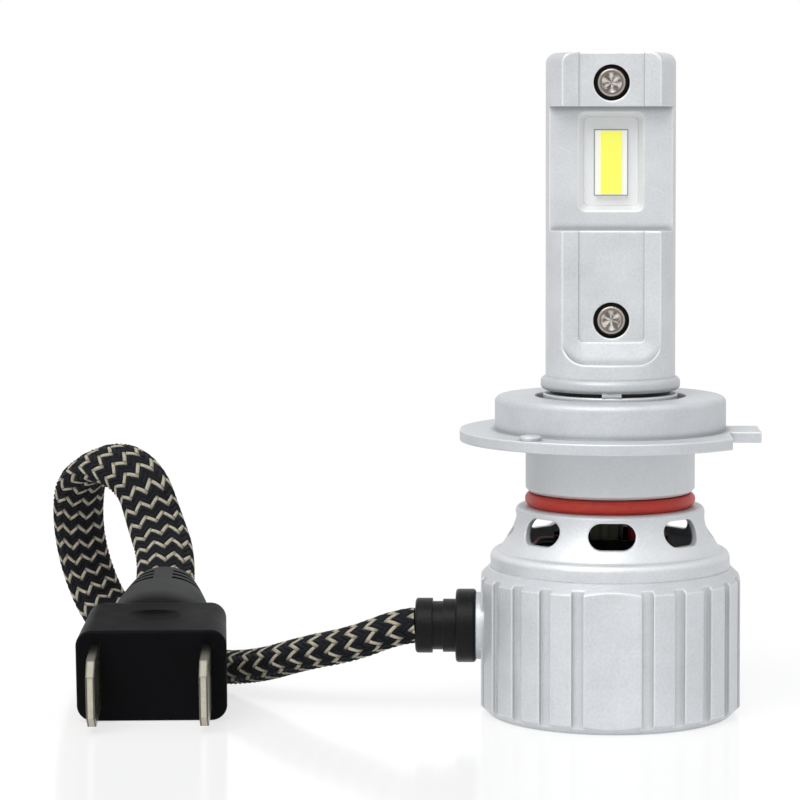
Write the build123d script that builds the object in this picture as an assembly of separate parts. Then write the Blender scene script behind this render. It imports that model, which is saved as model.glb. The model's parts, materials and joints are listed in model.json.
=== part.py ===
from build123d import *
import math
import os

# LED headlight bulb with a turning collar, a cooling fan and a braided lead with a two-blade plug.
# Frame: Z is the lamp axis, z = 0 is the underside of the fan housing, the front light side
# faces -Y, the lead leaves towards -X and the collar tab points to +X. Millimetres.

# ---- general fits
slip = 0.05                 # radial or side clearance between pieces fixed to each other
running_gap = 0.06          # radial fit of the collar on the neck
axial_gap = 0.1             # gap at the end faces of the turning collar

# ---- fan housing
housing_radius = 12.35
housing_height = 13.72
housing_bore = 10.0         # radius of the fan bore
housing_foot_height = 0.9   # height of the chamfer at the underside
housing_top_height = 0.95   # height of the chamfer at the top rim
housing_chamfer = 0.95      # radial size of both chamfers
groove_pitch = 15           # degrees
groove_width = 1.1
groove_depth = 0.38
quarter_flat_depth = 0.25   # depth of the four plain panels where a groove is left out
frame_seat_width = 0.35     # ledge that carries the fan frame
guard_seat_width = 0.85     # ledge that carries the inlet guard

# ---- lead entry and gland
entry_height = 8.0
entry_boss_radius = 3.15
entry_boss_reach = 0.25     # how far the boss stands out of the housing
gland_flange_radius = 3.45
gland_flange_length = 1.9
gland_neck_radius = 2.5
gland_neck_length = 1.2
gland_groove_radius = 2.28
gland_groove_length = 1.0
gland_tail_radius = 2.58
gland_tail_length = 1.6
gland_nose_radius = 1.4
gland_bore = 1.1
gland_rim = 0.3             # rounding of the flange and of the tail's end

# ---- heat sink
band_radius = 11.25
band_height = 1.05
ledge_radius = 10.4
ledge_height = 0.6
cone_radius = 8.85
flare_radius = 9.0          # hollow curve from the ledge up to the top edge
sink_height = 5.75          # band underside to the top plane
sink_wall = 0.6
sink_roof = 0.7
sink_edge = 0.4
spigot_height = 0.75
vent_count = 8
vent_width = 4.35
vent_height = 2.4
vent_middle = 3.95          # above the band underside

# ---- neck and seal
neck_radius = 6.7           # the length that the collar turns and slides on
neck_top_radius = 6.3
neck_bore = 5.2
neck_height = 10.6          # from the heat sink's top plane
seal_cord = 1.3

# ---- mounting collar
skirt_radius = 7.95
skirt_length = 4.8
skirt_chamfer = 0.3
flange_radius = 14.15
flange_thickness = 1.0
flange_flat = 10.95         # straight cut towards the tab
tab_half_width = 2.9
tab_reach = 14.0
collar_radius = 10.85
collar_height = 3.15
collar_fillet = 0.55
collar_hole = 7.1
collar_hole_depth = 2.6
pad_radius = 1.0
pad_height = 0.45
pad_inset = 1.2             # pad middles inside the flange's edge
pad_angles = (40, 115, 235)
grip_ring_height = 1.9
grip_ring_chamfer = 0.12
grip_ring_gap = 0.07        # between the grip ring and the bead that it slides over

# ---- post
post_radius = 6.08
post_length = 30.2
post_edge = 1.0
bead_radius = 6.55
bead_height = 1.25
bead_fillet = 0.5
key_width = 1.8
key_groove_height = 0.35
key_groove_radius = 5.6
base_spigot_length = 2.0
core_thickness = 1.0
core_tongue_half = 4.6
core_tongue_length = 8.5

# post faces, as distances from the lamp axis
panel_half = 3.05
panel_depth = 3.5
bevel_depth = 3.6
bevel_half = 4.55
channel_end = 1.4
channel_slope = 2.0
channel_corner = 2.1        # lower corners of the recess
panel_corner = 0.5          # lower corners of its flat panel
window_below = 6.3          # window ends below and above the light centre
window_above = 5.2
window_depth = 2.0
window_edge = 0.25
pocket_below = 4.5          # pocket ends below and above the light centre
pocket_above = 4.7
pocket_half = 3.0
pocket_corner = 0.6
pocket_draft = 0.5
wire_way = (1.5, 2.6)       # slot for one wire, from and to the middle
wire_way_depth = 0.95

# ---- light source
board_half = 3.3
board_margin = 0.45         # board ends beyond the pocket
board_thickness = 0.5
chip_width = 3.0
chip_height = 6.0
chip_thickness = 0.55
phosphor_width = 1.95
phosphor_height = 5.85
phosphor_thickness = 0.15
light_centre = 25.0         # above the collar's reference face

# ---- post screws
lower_screw_height = 5.4    # above the post foot
upper_screw_rise = 2.2      # above the window
screw_head_radius = 1.35
screw_head_height = 1.25
screw_shank_radius = 0.8
screw_length = 4.5
counterbore_radius = 1.68
counterbore_depth = 1.4
lobe_circle = 0.62
lobe_radius = 0.27
lobe_depth = 0.6
lobe_count = 6

# ---- fan
impeller_radius = 8.7
hub_radius = 5.0
hub_wall = 0.5
hub_floor = 0.8
hub_bottom = 2.2
hub_gap = 0.8               # between the hub's rim and the fan's board
blade_count = 9
blade_thickness = 0.6
blade_root_chord = 6.0
blade_root_pitch = 50
blade_tip_chord = 6.6
blade_tip_pitch = 38
shaft_radius = 0.75
bearing_fit = 0.03
bearing_radius = 1.45
bearing_inset = 0.2         # bearing ends inside its tube
shaft_inset = 0.4           # shaft end below the frame
bearing_tube_radius = 1.9
bearing_tube_gap = 2.2      # tube end above the hub's floor
magnet_thickness = 0.55
magnet_gap = 1.0            # magnet ends from the hub's floor
magnet_rim_gap = 0.4
stator_radius = 3.6
stator_gap = 0.2            # stator above the bearing tube's end
stator_height = 3.2
stator_poles = 4
pole_width = 1.2
pole_shoe_angle = 62
fan_board_radius = 4.3
fan_board_thickness = 0.6
fan_board_drop = 0.8
frame_height = 1.2
frame_rim = 0.8
frame_hub_radius = 5.6
frame_hub_height = 0.8
frame_spokes = 4
frame_spoke_start = 22.5    # degrees, clear of both pairs of wires
frame_spoke_width = 1.0

# ---- inlet guard
guard_thickness = 1.05
guard_rim = 0.95
guard_hub_radius = 4.2
guard_rings = 2
guard_ring_width = 0.6
guard_spokes = 6
guard_spoke_width = 0.9

# ---- driver
case_radius = 5.4
case_wall = 0.7
case_ledge = 0.5
case_floor = 0.5
case_height = 4.2
driver_board_drop = 2.6     # board underside below the case rim
driver_board_thickness = 0.8
coil_radius = 1.7
coil_height = 3.2
capacitor_radius = 1.3
capacitor_height = 4.2
chip_sizes = ((2.4, 1.6, 0.9), (1.6, 1.2, 0.8))
wire_radius = 0.35
wire_bend = 0.6
wire_spacing = 0.9
fan_wire_angle = -41
fan_wire_circle = 6.5

# ---- braided lead and plug
lead_width = 5.2
lead_thickness = 3.2
plug_width = 13.9
plug_height = 8.8
plug_length = 9.8
plug_corner = 1.5
plug_rear_width = 12.9
plug_rear_height = 8.2
plug_rear_edge = 1.2
plug_pitch = 9.5            # the rear is held up by the stiff lead
plug_yaw = 3.5
plug_corner_place = (-42.4, -6.6, 0.05)
dimple_size = (5.6, 3.4)
dimple_depth = 0.6
dimple_place = 4.9          # dimple's middle behind the front face
relief_length = 10.4
relief_rise = 14.0          # extra pitch of the strain relief
relief_root = (11.2, 7.4)
relief_middle = (8.4, 5.7)
relief_tip = (5.7, 4.0)
relief_neck = 3.7           # from the middle section to the tip
relief_slots = 3
relief_slot_pitch = 0.9
relief_slot_width = 0.4
relief_slot_depth = 0.35
relief_web = 0.9            # half width of the strip that the slots stop at
blade_terminal_width = 6.3
blade_terminal_thickness = 0.8
blade_terminal_reach = 5.6
blade_terminal_seat = 4.0
blade_terminal_spacing = 10.2
blade_terminal_chamfer = 1.2

# route of the lead's middle line between the gland and the plug's strain relief
lead_points = (
    (-20.2, 0.0, entry_height),
    (-24.6, 1.3, 6.35),
    (-29.4, 5.0, 4.45),
    (-34.0, 9.8, 2.5),
    (-38.9, 15.4, 1.75),
    (-43.8, 21.6, 1.75),
    (-48.6, 27.6, 1.9),
    (-52.6, 32.4, 3.4),
    (-54.9, 34.4, 8.1),
    (-55.7, 33.6, 13.7),
    (-54.4, 30.6, 18.7),
    (-51.2, 26.8, 21.1),
    (-47.9, 23.6, 19.3),
    (-46.2, 21.6, 14.9),
)
relief_exit_run = 4.7

# ---- heights and places worked out from the sizes above
sink_bottom = housing_height
sink_top = sink_bottom + sink_height
seal_height = sink_top + seal_cord / 2
skirt_bottom = sink_top + seal_cord + axial_gap
flange_bottom = skirt_bottom + skirt_length
flange_top = flange_bottom + flange_thickness
collar_top = flange_top + collar_height
collar_ledge = collar_top - collar_hole_depth
neck_top = sink_top + neck_height
bead_bottom = neck_top + key_groove_height
post_bottom = bead_bottom + bead_height
post_top = post_bottom + post_length
light_height = flange_top + light_centre
window_bottom, window_top = light_height - window_below, light_height + window_above
pocket_bottom, pocket_top = light_height - pocket_below, light_height + pocket_above
board_span = (pocket_bottom - board_margin, pocket_top + board_margin)
screw_places = (post_bottom + lower_screw_height, window_top + upper_screw_rise)
frame_seat = housing_height - spigot_height - frame_height
guard_seat = guard_thickness + 0.15
frame_bore = housing_bore + frame_seat_width
boss_face = housing_radius + entry_boss_reach
fan_board_top = frame_seat - fan_board_drop
hub_top = fan_board_top - fan_board_thickness - hub_gap
hub_floor_top = hub_bottom + hub_floor
bearing_tube_low = hub_floor_top + bearing_tube_gap
case_bottom = frame_seat + frame_hub_height
case_top = case_bottom + case_height
driver_board_bottom = case_top - driver_board_drop
driver_board_top = driver_board_bottom + driver_board_thickness
bevel_rim = math.sqrt(post_radius**2 - bevel_half**2)    # depth where the bevels meet the post
rim_slot_height = case_top - 2 * wire_radius - slip
gland_end = boss_face + gland_flange_length + gland_neck_length + gland_groove_length + gland_tail_length


def disc(radius, low, high, x=0.0, y=0.0):
    stand = (Align.CENTER, Align.CENTER, Align.MIN)
    return Pos(x, y, low) * Cylinder(radius, high - low, align=stand)


def ring(outer, inner, low, high):
    return disc(outer, low, high) - disc(inner, low - 1, high + 1)


def block(x, y, z):
    """A box given by its (low, high) pairs."""
    low = (x[0], y[0], z[0])
    size = (x[1] - x[0], y[1] - y[0], z[1] - z[0])
    return Pos(*low) * Box(*size, align=Align.MIN)


def around(count, shape, start=0.0):
    return [Rot(0, 0, start + 360 * i / count) * shape for i in range(count)]


def spun(*edges):
    """The solid of revolution of a closed (radius, height) outline about the lamp axis."""
    return revolve(make_face(Plane.XZ * Curve(list(edges))), Axis.Z)


def front_prism(sketch, near, far):
    """A sketch in (x, z) extruded towards -Y, from distance near to distance far."""
    plane = Plane(origin=(0, -near, 0), x_dir=(1, 0, 0), z_dir=(0, -1, 0))
    return extrude(plane * sketch, far - near)


# ---------------------------------------------------------------- fan housing
def fan_housing():
    r, h, foot, top = housing_radius, housing_height, housing_foot_height, housing_top_height
    rim = r - housing_chamfer
    outline = Polyline(
        (0, 0), (rim, 0), (r, foot), (r, h - top), (rim, h), (0, h), close=True
    )
    body = spun(*outline.edges())
    groove = block((r - groove_depth, r + 1), (-groove_width / 2, groove_width / 2), (-1, h + 1))
    steps = [i for i in range(360 // groove_pitch) if (i * groove_pitch) % 90]
    body -= [Rot(0, 0, i * groove_pitch) * groove for i in steps]
    flat = block((r - quarter_flat_depth, r + 1), (-r, r), (-1, h + 1))
    body -= around(4, flat)
    body += Pos(-housing_bore - 0.5, 0, entry_height) * Rot(0, -90, 0) * Cylinder(
        entry_boss_radius, boss_face - housing_bore - 0.5, align=(Align.CENTER, Align.CENTER, Align.MIN)
    )
    body -= disc(housing_bore, -1, h + 1)
    body -= disc(frame_bore, frame_seat, h + 1)
    body -= disc(housing_bore + guard_seat_width, -1, guard_seat)
    wall = boss_face - housing_bore
    body -= Pos(-housing_bore - wall / 2, 0, entry_height) * Rot(0, 90, 0) * Cylinder(
        gland_nose_radius + slip, wall + 2
    )
    return body


def inlet_guard():
    outer = housing_bore + guard_seat_width - slip
    low, high = guard_seat - guard_thickness, guard_seat
    guard = ring(outer, outer - guard_rim, low, high) + disc(guard_hub_radius, low, high)
    gap = (outer - guard_rim - guard_hub_radius) / (guard_rings + 1)
    for i in range(guard_rings):
        middle = guard_hub_radius + gap * (i + 1)
        guard += ring(middle + guard_ring_width / 2, middle - guard_ring_width / 2, low, high)
    half = guard_spoke_width / 2
    spoke = block((guard_hub_radius - 0.5, outer - 0.5), (-half, half), (low, high))
    return guard + around(guard_spokes, spoke, 30)


# ---------------------------------------------------------------- heat sink and neck
def heat_sink():
    low, top = sink_bottom, sink_top
    ledge_z = low + band_height + ledge_height
    corner_z = top - sink_edge
    run, rise = ledge_radius - cone_radius, corner_z - ledge_z
    lift = math.sqrt(flare_radius**2 / (run**2 + rise**2) - 0.25)
    centre_r = (cone_radius + ledge_radius) / 2 + lift * rise
    centre_z = (ledge_z + corner_z) / 2 + lift * run

    def flare_at(radius, z):
        """Radius of the surface whose section is the circle of the given radius."""
        return centre_r - math.sqrt(radius**2 - (centre_z - z) ** 2)

    inner_bore = frame_bore - slip - frame_rim
    inner_radius = flare_radius + sink_wall
    inner_low = centre_z - math.sqrt(inner_radius**2 - (centre_r - inner_bore) ** 2)
    roof = top - sink_roof
    turn = sink_edge * (1 - math.sqrt(0.5))
    spigot = frame_bore - slip
    outer_mid = low + band_height + ledge_height * 0.7
    path = [
        Line((inner_bore, low - spigot_height), (spigot, low - spigot_height)),
        Line((spigot, low - spigot_height), (spigot, low)),
        Line((spigot, low), (band_radius, low)),
        Line((band_radius, low), (band_radius, low + band_height)),
        ThreePointArc(
            (band_radius, low + band_height),
            (band_radius - 0.25 * (band_radius - ledge_radius), outer_mid),
            (ledge_radius, ledge_z),
        ),
        ThreePointArc(
            (ledge_radius, ledge_z),
            (flare_at(flare_radius, (ledge_z + corner_z) / 2), (ledge_z + corner_z) / 2),
            (cone_radius, corner_z),
        ),
        ThreePointArc(
            (cone_radius, corner_z),
            (cone_radius - turn, top - turn),
            (cone_radius - sink_edge, top),
        ),
        Polyline(
            (cone_radius - sink_edge, top),
            (neck_radius, top),
            (neck_radius, collar_ledge - axial_gap),
            (neck_top_radius, collar_ledge - axial_gap),
            (neck_top_radius, neck_top),
            (neck_bore, neck_top),
            (neck_bore, roof),
            (flare_at(inner_radius, roof), roof),
        ),
        ThreePointArc(
            (flare_at(inner_radius, roof), roof),
            (flare_at(inner_radius, (roof + inner_low) / 2), (roof + inner_low) / 2),
            (inner_bore, inner_low),
        ),
        Line((inner_bore, inner_low), (inner_bore, low - spigot_height)),
    ]
    body = spun(*[edge for part in path for edge in part.edges()])
    opening = extrude(Rot(0, 0, 90) * SlotOverall(vent_width, vent_height), band_radius)
    body -= around(vent_count, Pos(cone_radius - 2, 0, low + vent_middle) * Rot(0, 90, 0) * opening)
    body -= block((-spigot - 0.1, -inner_bore + 1), (-1.1, 1.1), (low - spigot_height - 1, low + 0.8))
    return body


def seal_ring():
    middle = neck_radius + seal_cord / 2
    return Pos(0, 0, seal_height) * Torus(middle, seal_cord / 2)


def grip_ring():
    """The rubber ring in the collar's top hole that holds the collar on the neck."""
    low = collar_ledge + axial_gap
    body = ring(collar_hole - slip, bead_radius + grip_ring_gap, low, low + grip_ring_height)
    return chamfer(body.edges().group_by(Axis.Z)[-1], grip_ring_chamfer)


# ---------------------------------------------------------------- mounting collar
def mounting_collar():
    skirt = disc(skirt_radius, skirt_bottom, flange_bottom)
    skirt = chamfer(skirt.edges().group_by(Axis.Z)[0], skirt_chamfer)
    plate = disc(flange_radius, flange_bottom, flange_top)
    side = 2 * flange_radius
    plate -= block((flange_flat, side), (-side, side), (flange_bottom - 1, flange_top + 1))
    tab = (-tab_half_width, tab_half_width)
    plate += block((collar_radius - 1, tab_reach), tab, (flange_bottom, flange_top))
    collar = disc(collar_radius, flange_top, collar_top)
    collar = fillet(collar.edges().group_by(Axis.Z)[-1], collar_fillet)
    body = skirt + plate + collar
    pad = disc(pad_radius, flange_top, flange_top + pad_height)
    pad = fillet(pad.edges().group_by(Axis.Z)[-1], pad_height * 0.6)
    body += [Rot(0, 0, angle) * Pos(flange_radius - pad_inset, 0, 0) * pad for angle in pad_angles]
    body -= disc(neck_radius + running_gap, skirt_bottom - 1, collar_top + 1)
    body -= disc(collar_hole, collar_ledge, collar_top + 1)
    return body


# ---------------------------------------------------------------- post
def post_blank():
    body = disc(post_radius, post_bottom, post_top)
    return fillet(body.edges().group_by(Axis.Z)[-1], post_edge)


def wire_ways(low, high):
    """Four slots beside the core plate, two on each face, that lead the wires up."""
    near, far = core_thickness / 2, core_thickness / 2 + wire_way_depth
    ways = []
    for y in ((-far, -near), (near, far)):
        for x in ((-wire_way[1], -wire_way[0]), wire_way):
            ways.append(block(x, y, (low, high)))
    return ways


def face_channel(low, high):
    """The flat recess along one post face, with a bevelled strip on each side."""
    reach = post_radius + 1
    spread = (reach - bevel_depth) * (bevel_half - panel_half)
    side = panel_half + spread / (bevel_rim - bevel_depth)
    outline = Polyline(
        (-panel_half, -panel_depth),
        (-panel_half, -bevel_depth),
        (-side, -reach),
        (side, -reach),
        (panel_half, -bevel_depth),
        (panel_half, -panel_depth),
        close=True,
    )
    return Pos(0, 0, low) * extrude(make_face(outline), high - low)


def lower_channel():
    """The recess under the window: a flat panel in a bevelled dish with round lower corners."""

    def dish(half, low, corner):
        outline = Pos(0, (low + window_bottom) / 2) * Rectangle(2 * half, window_bottom - low)
        return fillet(outline.vertices().group_by(Axis.Y)[0], corner)

    def at(depth):
        return Plane(origin=(0, -depth, 0), x_dir=(1, 0, 0), z_dir=(0, -1, 0))

    end = post_bottom + channel_end
    panel = dish(panel_half, end + channel_slope, panel_corner)
    mouth = dish(bevel_half, end, channel_corner)
    recess = front_prism(panel, panel_depth, bevel_depth)
    recess += loft([at(bevel_depth) * panel, at(bevel_rim) * mouth])
    return recess + front_prism(mouth, bevel_rim, post_radius + 1)


def light_pocket():
    middle = (pocket_bottom + pocket_top) / 2
    width, height = 2 * pocket_half, pocket_top - pocket_bottom
    depth = core_thickness / 2 + board_thickness
    mouth = Plane(origin=(0, -window_depth, middle), x_dir=(1, 0, 0), z_dir=(0, -1, 0))
    floor = Plane(origin=(0, -depth, middle), x_dir=(1, 0, 0), z_dir=(0, -1, 0))
    return loft(
        [
            floor * RectangleRounded(width - 2 * pocket_draft, height - 2 * pocket_draft, pocket_corner * 0.8),
            mouth * RectangleRounded(width, height, pocket_corner),
        ]
    )


def post_face():
    """One half of the post, on its front side, before the screws' holes."""
    half = core_thickness / 2
    reach = post_radius + 1
    body = post_blank() & block((-reach, reach), (-reach, -half), (0, post_top + 1))
    body -= block((-reach, reach), (-reach, -window_depth), (window_bottom, window_top))
    body -= face_channel(window_top - window_edge, post_top + 1)
    body -= lower_channel()
    body -= light_pocket()
    seat = (board_span[0] - slip, board_span[1] + slip)
    body -= block((-board_half - slip, board_half + slip), (-half - board_thickness, 0), seat)
    body -= wire_ways(post_bottom - 1, board_span[0])
    return body


def along_y(radius, near, far, height):
    """A round bar along Y between two distances in front of the axis (negative is behind)."""
    return front_prism(Pos(0, height) * Circle(radius), near, far)


def post_front_shell():
    body = post_face()
    for z in screw_places:
        body -= along_y(counterbore_radius, panel_depth - counterbore_depth, post_radius, z)
        body -= along_y(screw_shank_radius + slip, 0, post_radius, z)
    return body


def post_rear_shell():
    body = Rot(0, 0, 180) * post_face()
    deep = screw_length - (panel_depth - counterbore_depth) + 0.2
    for z in screw_places:
        body -= along_y(screw_shank_radius + slip, -deep, 0, z)
    return body


def core_plate():
    half = core_thickness / 2
    body = post_blank() & block((-post_radius, post_radius), (-half, half), (0, post_top + 1))
    tongue = (post_bottom - core_tongue_length, post_bottom)
    body += block((-core_tongue_half, core_tongue_half), (-half, half), tongue)
    for z in screw_places:
        body -= along_y(screw_shank_radius + slip, -core_thickness, core_thickness, z)
    return body


def post_base():
    bead = disc(bead_radius, bead_bottom, post_bottom)
    bead = fillet(bead.edges().filter_by(GeomType.CIRCLE), bead_fillet)
    body = bead + disc(key_groove_radius, neck_top, bead_bottom + bead_fillet)
    half = key_width / 2
    key = block((-half, half), (-neck_top_radius, -key_groove_radius + 0.5), (neck_top, bead_bottom + bead_fillet))
    body += around(2, key)
    body += disc(neck_bore - slip, neck_top - base_spigot_length, neck_top)
    wide, thick = core_tongue_half + slip, core_thickness / 2 + slip
    through = (neck_top - base_spigot_length - 1, post_bottom + 1)
    body -= block((-wide, wide), (-thick, thick), through)
    body -= wire_ways(*through)
    return body


# ---------------------------------------------------------------- light source
def light_board():
    near = core_thickness / 2
    return block((-board_half, board_half), (-near - board_thickness, -near), board_span)


def light_chip():
    near = core_thickness / 2 + board_thickness
    return front_prism(Pos(0, light_height) * Rectangle(chip_width, chip_height), near, near + chip_thickness)


def light_phosphor():
    near = core_thickness / 2 + board_thickness + chip_thickness
    face = Pos(0, light_height) * Rectangle(phosphor_width, phosphor_height)
    return front_prism(face, near, near + phosphor_thickness)


def post_screws():
    seat = panel_depth - counterbore_depth
    screws = []
    for z in screw_places:
        head = along_y(screw_head_radius, seat, seat + screw_head_height, z)
        head = fillet(head.edges().group_by(Axis.Y)[0], 0.2)
        top = seat + screw_head_height
        socket = Pos(0, z) * Circle(lobe_circle)
        for i in range(lobe_count):
            turn = math.radians(360 / lobe_count * i)
            socket += Pos(lobe_circle * math.sin(turn), z + lobe_circle * math.cos(turn)) * Circle(lobe_radius)
        head -= front_prism(socket, top - lobe_depth, top + 1)
        screws.append(head + along_y(screw_shank_radius, seat - screw_length, seat, z))
    return Compound(children=screws)


# ---------------------------------------------------------------- fan
def fan_impeller():
    low, high = hub_bottom, hub_top
    hub = disc(hub_radius, low, high) - disc(hub_radius - hub_wall, low + hub_floor, high + 1)
    hub = fillet(hub.edges().group_by(Axis.Z)[0], 0.3)
    hub -= disc(shaft_radius, low + hub_floor / 2, high)

    def section(radius, chord, pitch):
        turn = math.radians(pitch)
        lie = (0, math.cos(turn), math.sin(turn))
        plane = Plane(origin=(radius, 0, (low + high) / 2), x_dir=lie, z_dir=(1, 0, 0))
        return plane * Rectangle(chord, blade_thickness)

    root = hub_radius - hub_wall + 0.05
    blade = loft(
        [
            section(root, blade_root_chord, blade_root_pitch),
            section(impeller_radius + 0.5, blade_tip_chord, blade_tip_pitch),
        ]
    )
    blade = blade & disc(impeller_radius, 0, housing_height)
    return hub + around(blade_count, blade)


def fan_magnet():
    outer = hub_radius - hub_wall
    return ring(outer, outer - magnet_thickness, hub_floor_top + magnet_gap, hub_top - magnet_rim_gap)


def fan_shaft():
    return disc(shaft_radius, hub_bottom + hub_floor / 2, frame_seat - shaft_inset)


def fan_frame():
    low = frame_seat
    outer = frame_bore - slip
    body = ring(outer, outer - frame_rim, low, low + frame_height)
    body += disc(frame_hub_radius, low, low + frame_hub_height)
    half = frame_spoke_width / 2
    spoke = block((frame_hub_radius - 1, outer - 0.3), (-half, half), (low, low + frame_hub_height))
    body += around(frame_spokes, spoke, frame_spoke_start)
    body += disc(bearing_tube_radius, bearing_tube_low, low)
    body -= disc(bearing_radius, bearing_tube_low - 1, low - bearing_inset)
    body -= block((-outer - 1, -outer + 1.4), (-1.1, 1.1), (low - 1, low + frame_height + 1))
    return body


def fan_bearing():
    low, high = bearing_tube_low + bearing_inset, frame_seat - bearing_inset
    return ring(bearing_radius, shaft_radius + bearing_fit, low, high)


def fan_stator():
    low = bearing_tube_low + stator_gap
    high = low + stator_height
    inner = bearing_tube_radius + slip
    body = ring(inner + 0.7, inner, low, high)
    half = pole_width / 2
    arm = block((inner + 0.3, stator_radius - 0.2), (-half, half), (low, high))
    width = stator_radius * math.tan(math.radians(pole_shoe_angle / 2))
    wedge = make_face(
        Polyline((0, 0), (stator_radius + 1, -width * 1.2), (stator_radius + 1, width * 1.2), close=True)
    )
    shoe = ring(stator_radius, stator_radius - 0.5, low, high) & extrude(Pos(0, 0, low) * wedge, stator_height)
    return body + around(stator_poles, arm) + around(stator_poles, shoe)


def fan_board():
    inner = bearing_tube_radius + slip
    return ring(fan_board_radius, inner, fan_board_top - fan_board_thickness, fan_board_top)


# ---------------------------------------------------------------- driver
def rim_slot(angle, width):
    half = width / 2
    gate = block((0, case_radius + 1), (-half, half), (driver_board_top, case_top + 1))
    return Rot(0, 0, angle) * (gate - disc(case_radius - case_wall - 0.5, 0, case_top + 2))


def driver_case():
    inner = case_radius - case_wall
    body = disc(case_radius, case_bottom, case_top)
    body -= disc(inner - case_ledge, case_bottom + case_floor, case_top + 1)
    body -= disc(inner, driver_board_bottom, case_top + 1)
    body -= rim_slot(180, 2 * wire_spacing + 0.4)
    body -= rim_slot(fan_wire_angle, 2 * wire_spacing + 0.4)
    return body


def driver_board():
    return disc(case_radius - case_wall - slip, driver_board_bottom, driver_board_top)


def driver_coil():
    return disc(coil_radius, driver_board_top, driver_board_top + coil_height, -0.4, 2.5)


def driver_capacitor():
    return disc(capacitor_radius, driver_board_top, driver_board_top + capacitor_height, -0.6, -2.8)


def driver_chips():
    chips = []
    for x, (width, length, height) in zip((2.6, -2.6), chip_sizes):
        low = driver_board_bottom - height
        chips.append(block((x - width / 2, x + width / 2), (-length / 2, length / 2), (low, driver_board_bottom)))
    return Compound(children=chips)


# ---------------------------------------------------------------- wires
def bend_radii(points, largest=math.inf):
    """Each bend's radius: 0.45 of the shorter run beside it over the tangent of half the turn."""
    radii = []
    for a, b, c in zip(points, points[1:], points[2:]):
        before, after = Vector(*b) - Vector(*a), Vector(*c) - Vector(*b)
        turn = math.radians(before.get_angle(after))
        fitting = 0.45 * min(before.length, after.length) / math.tan(turn / 2)
        radii.append(min(fitting, largest))
    return radii


def rounded_path(points, largest=math.inf):
    """Straight runs joined by tangent arcs."""
    corners = [Vector(*p) for p in points]
    edges, here = [], corners[0]
    for a, b, c, radius in zip(corners, corners[1:], corners[2:], bend_radii(points, largest)):
        into, out = (b - a).normalized(), (c - b).normalized()
        half = math.radians(into.get_angle(out)) / 2
        cut = radius * math.tan(half)
        middle = b + (out - into).normalized() * (radius / math.cos(half) - radius)
        edges += [Line(here, b - into * cut), ThreePointArc(b - into * cut, middle, b + out * cut)]
        here = b + out * cut
    edges.append(Line(here, corners[-1]))
    return Wire([edge for part in edges for edge in part.edges()])


def wire(points):
    path = rounded_path(points, wire_bend)
    return sweep(Plane(origin=path @ 0, z_dir=path % 0) * Circle(wire_radius), path)


def supply_wire(side):
    y = side * wire_spacing / 2
    up = housing_bore - wire_radius - 0.15
    return wire(
        [
            (-gland_end, y, entry_height),
            (-up, y, entry_height),
            (-up, y, sink_bottom - 0.4),
            (-case_radius - 1.1, y, rim_slot_height),
            (-case_radius + 1.6, y, rim_slot_height),
            (-case_radius + 1.6, y, driver_board_top),
        ]
    )


def fan_wire(side):
    y = side * wire_spacing / 2
    low = frame_seat - fan_board_drop / 2
    body = wire(
        [
            (fan_board_radius - 1.2, y, low),
            (fan_wire_circle, y, low),
            (fan_wire_circle, y, rim_slot_height),
            (case_radius - 1.6, y, rim_slot_height),
            (case_radius - 1.6, y, driver_board_top),
        ]
    )
    return Rot(0, 0, fan_wire_angle) * body


def light_wires(side):
    x = side * sum(wire_way) / 2
    y = core_thickness / 2 + wire_way_depth / 2
    top = board_span[0]
    return [disc(wire_radius, driver_board_top, top, x, y), disc(wire_radius, driver_board_top, top, x, -y)]


def wires(side):
    return Compound(children=[supply_wire(side), fan_wire(side)] + light_wires(side))


# ---------------------------------------------------------------- gland, lead and plug
def cable_gland():
    start = housing_bore + 0.6
    lengths = (
        (gland_flange_radius, gland_flange_length),
        (gland_neck_radius, gland_neck_length),
        (gland_groove_radius, gland_groove_length),
        (gland_tail_radius, gland_tail_length),
    )
    reach = boss_face
    points = [(start, 0), (start, gland_nose_radius), (reach, gland_nose_radius)]
    for radius, length in lengths:
        points += [(reach, radius), (reach + length, radius)]
        reach += length
    points.append((reach, 0))
    outline = make_face(Polyline(*[(-x, r) for x, r in points], close=True))
    body = revolve(Plane.XZ * outline, Axis.X)
    circles = body.edges().filter_by(GeomType.CIRCLE)
    body = fillet(circles.filter_by(lambda e: e.radius > gland_tail_radius + 0.01), gland_rim)
    body = fillet(body.edges().filter_by(GeomType.CIRCLE).group_by(Axis.X)[0].sort_by(SortBy.RADIUS)[-1], gland_rim)
    body = Pos(0, 0, entry_height) * body
    bore = Cylinder(gland_bore, gland_end - start + 1)
    return body - Pos(-(start + gland_end) / 2, 0, entry_height) * Rot(0, 90, 0) * bore


def plug_frame():
    return Pos(*plug_corner_place) * Rot(0, 0, plug_yaw) * Rot(plug_pitch, 0, 0)


def relief_frame():
    """Where the strain relief leaves the plug, its axis as the local +Y."""
    return plug_frame() * Pos(0, plug_length - 0.6, plug_height / 2) * Rot(relief_rise, 0, 0)


def plug_section(y, width, height, corner):
    plane = Plane(origin=(0, y, plug_height / 2), x_dir=(1, 0, 0), z_dir=(0, -1, 0))
    return plane * RectangleRounded(width, height, corner)


def oval_section(y, width, height):
    plane = Plane(origin=(0, y, 0), x_dir=(1, 0, 0), z_dir=(0, -1, 0))
    return plane * Ellipse(width / 2, height / 2)


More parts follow.
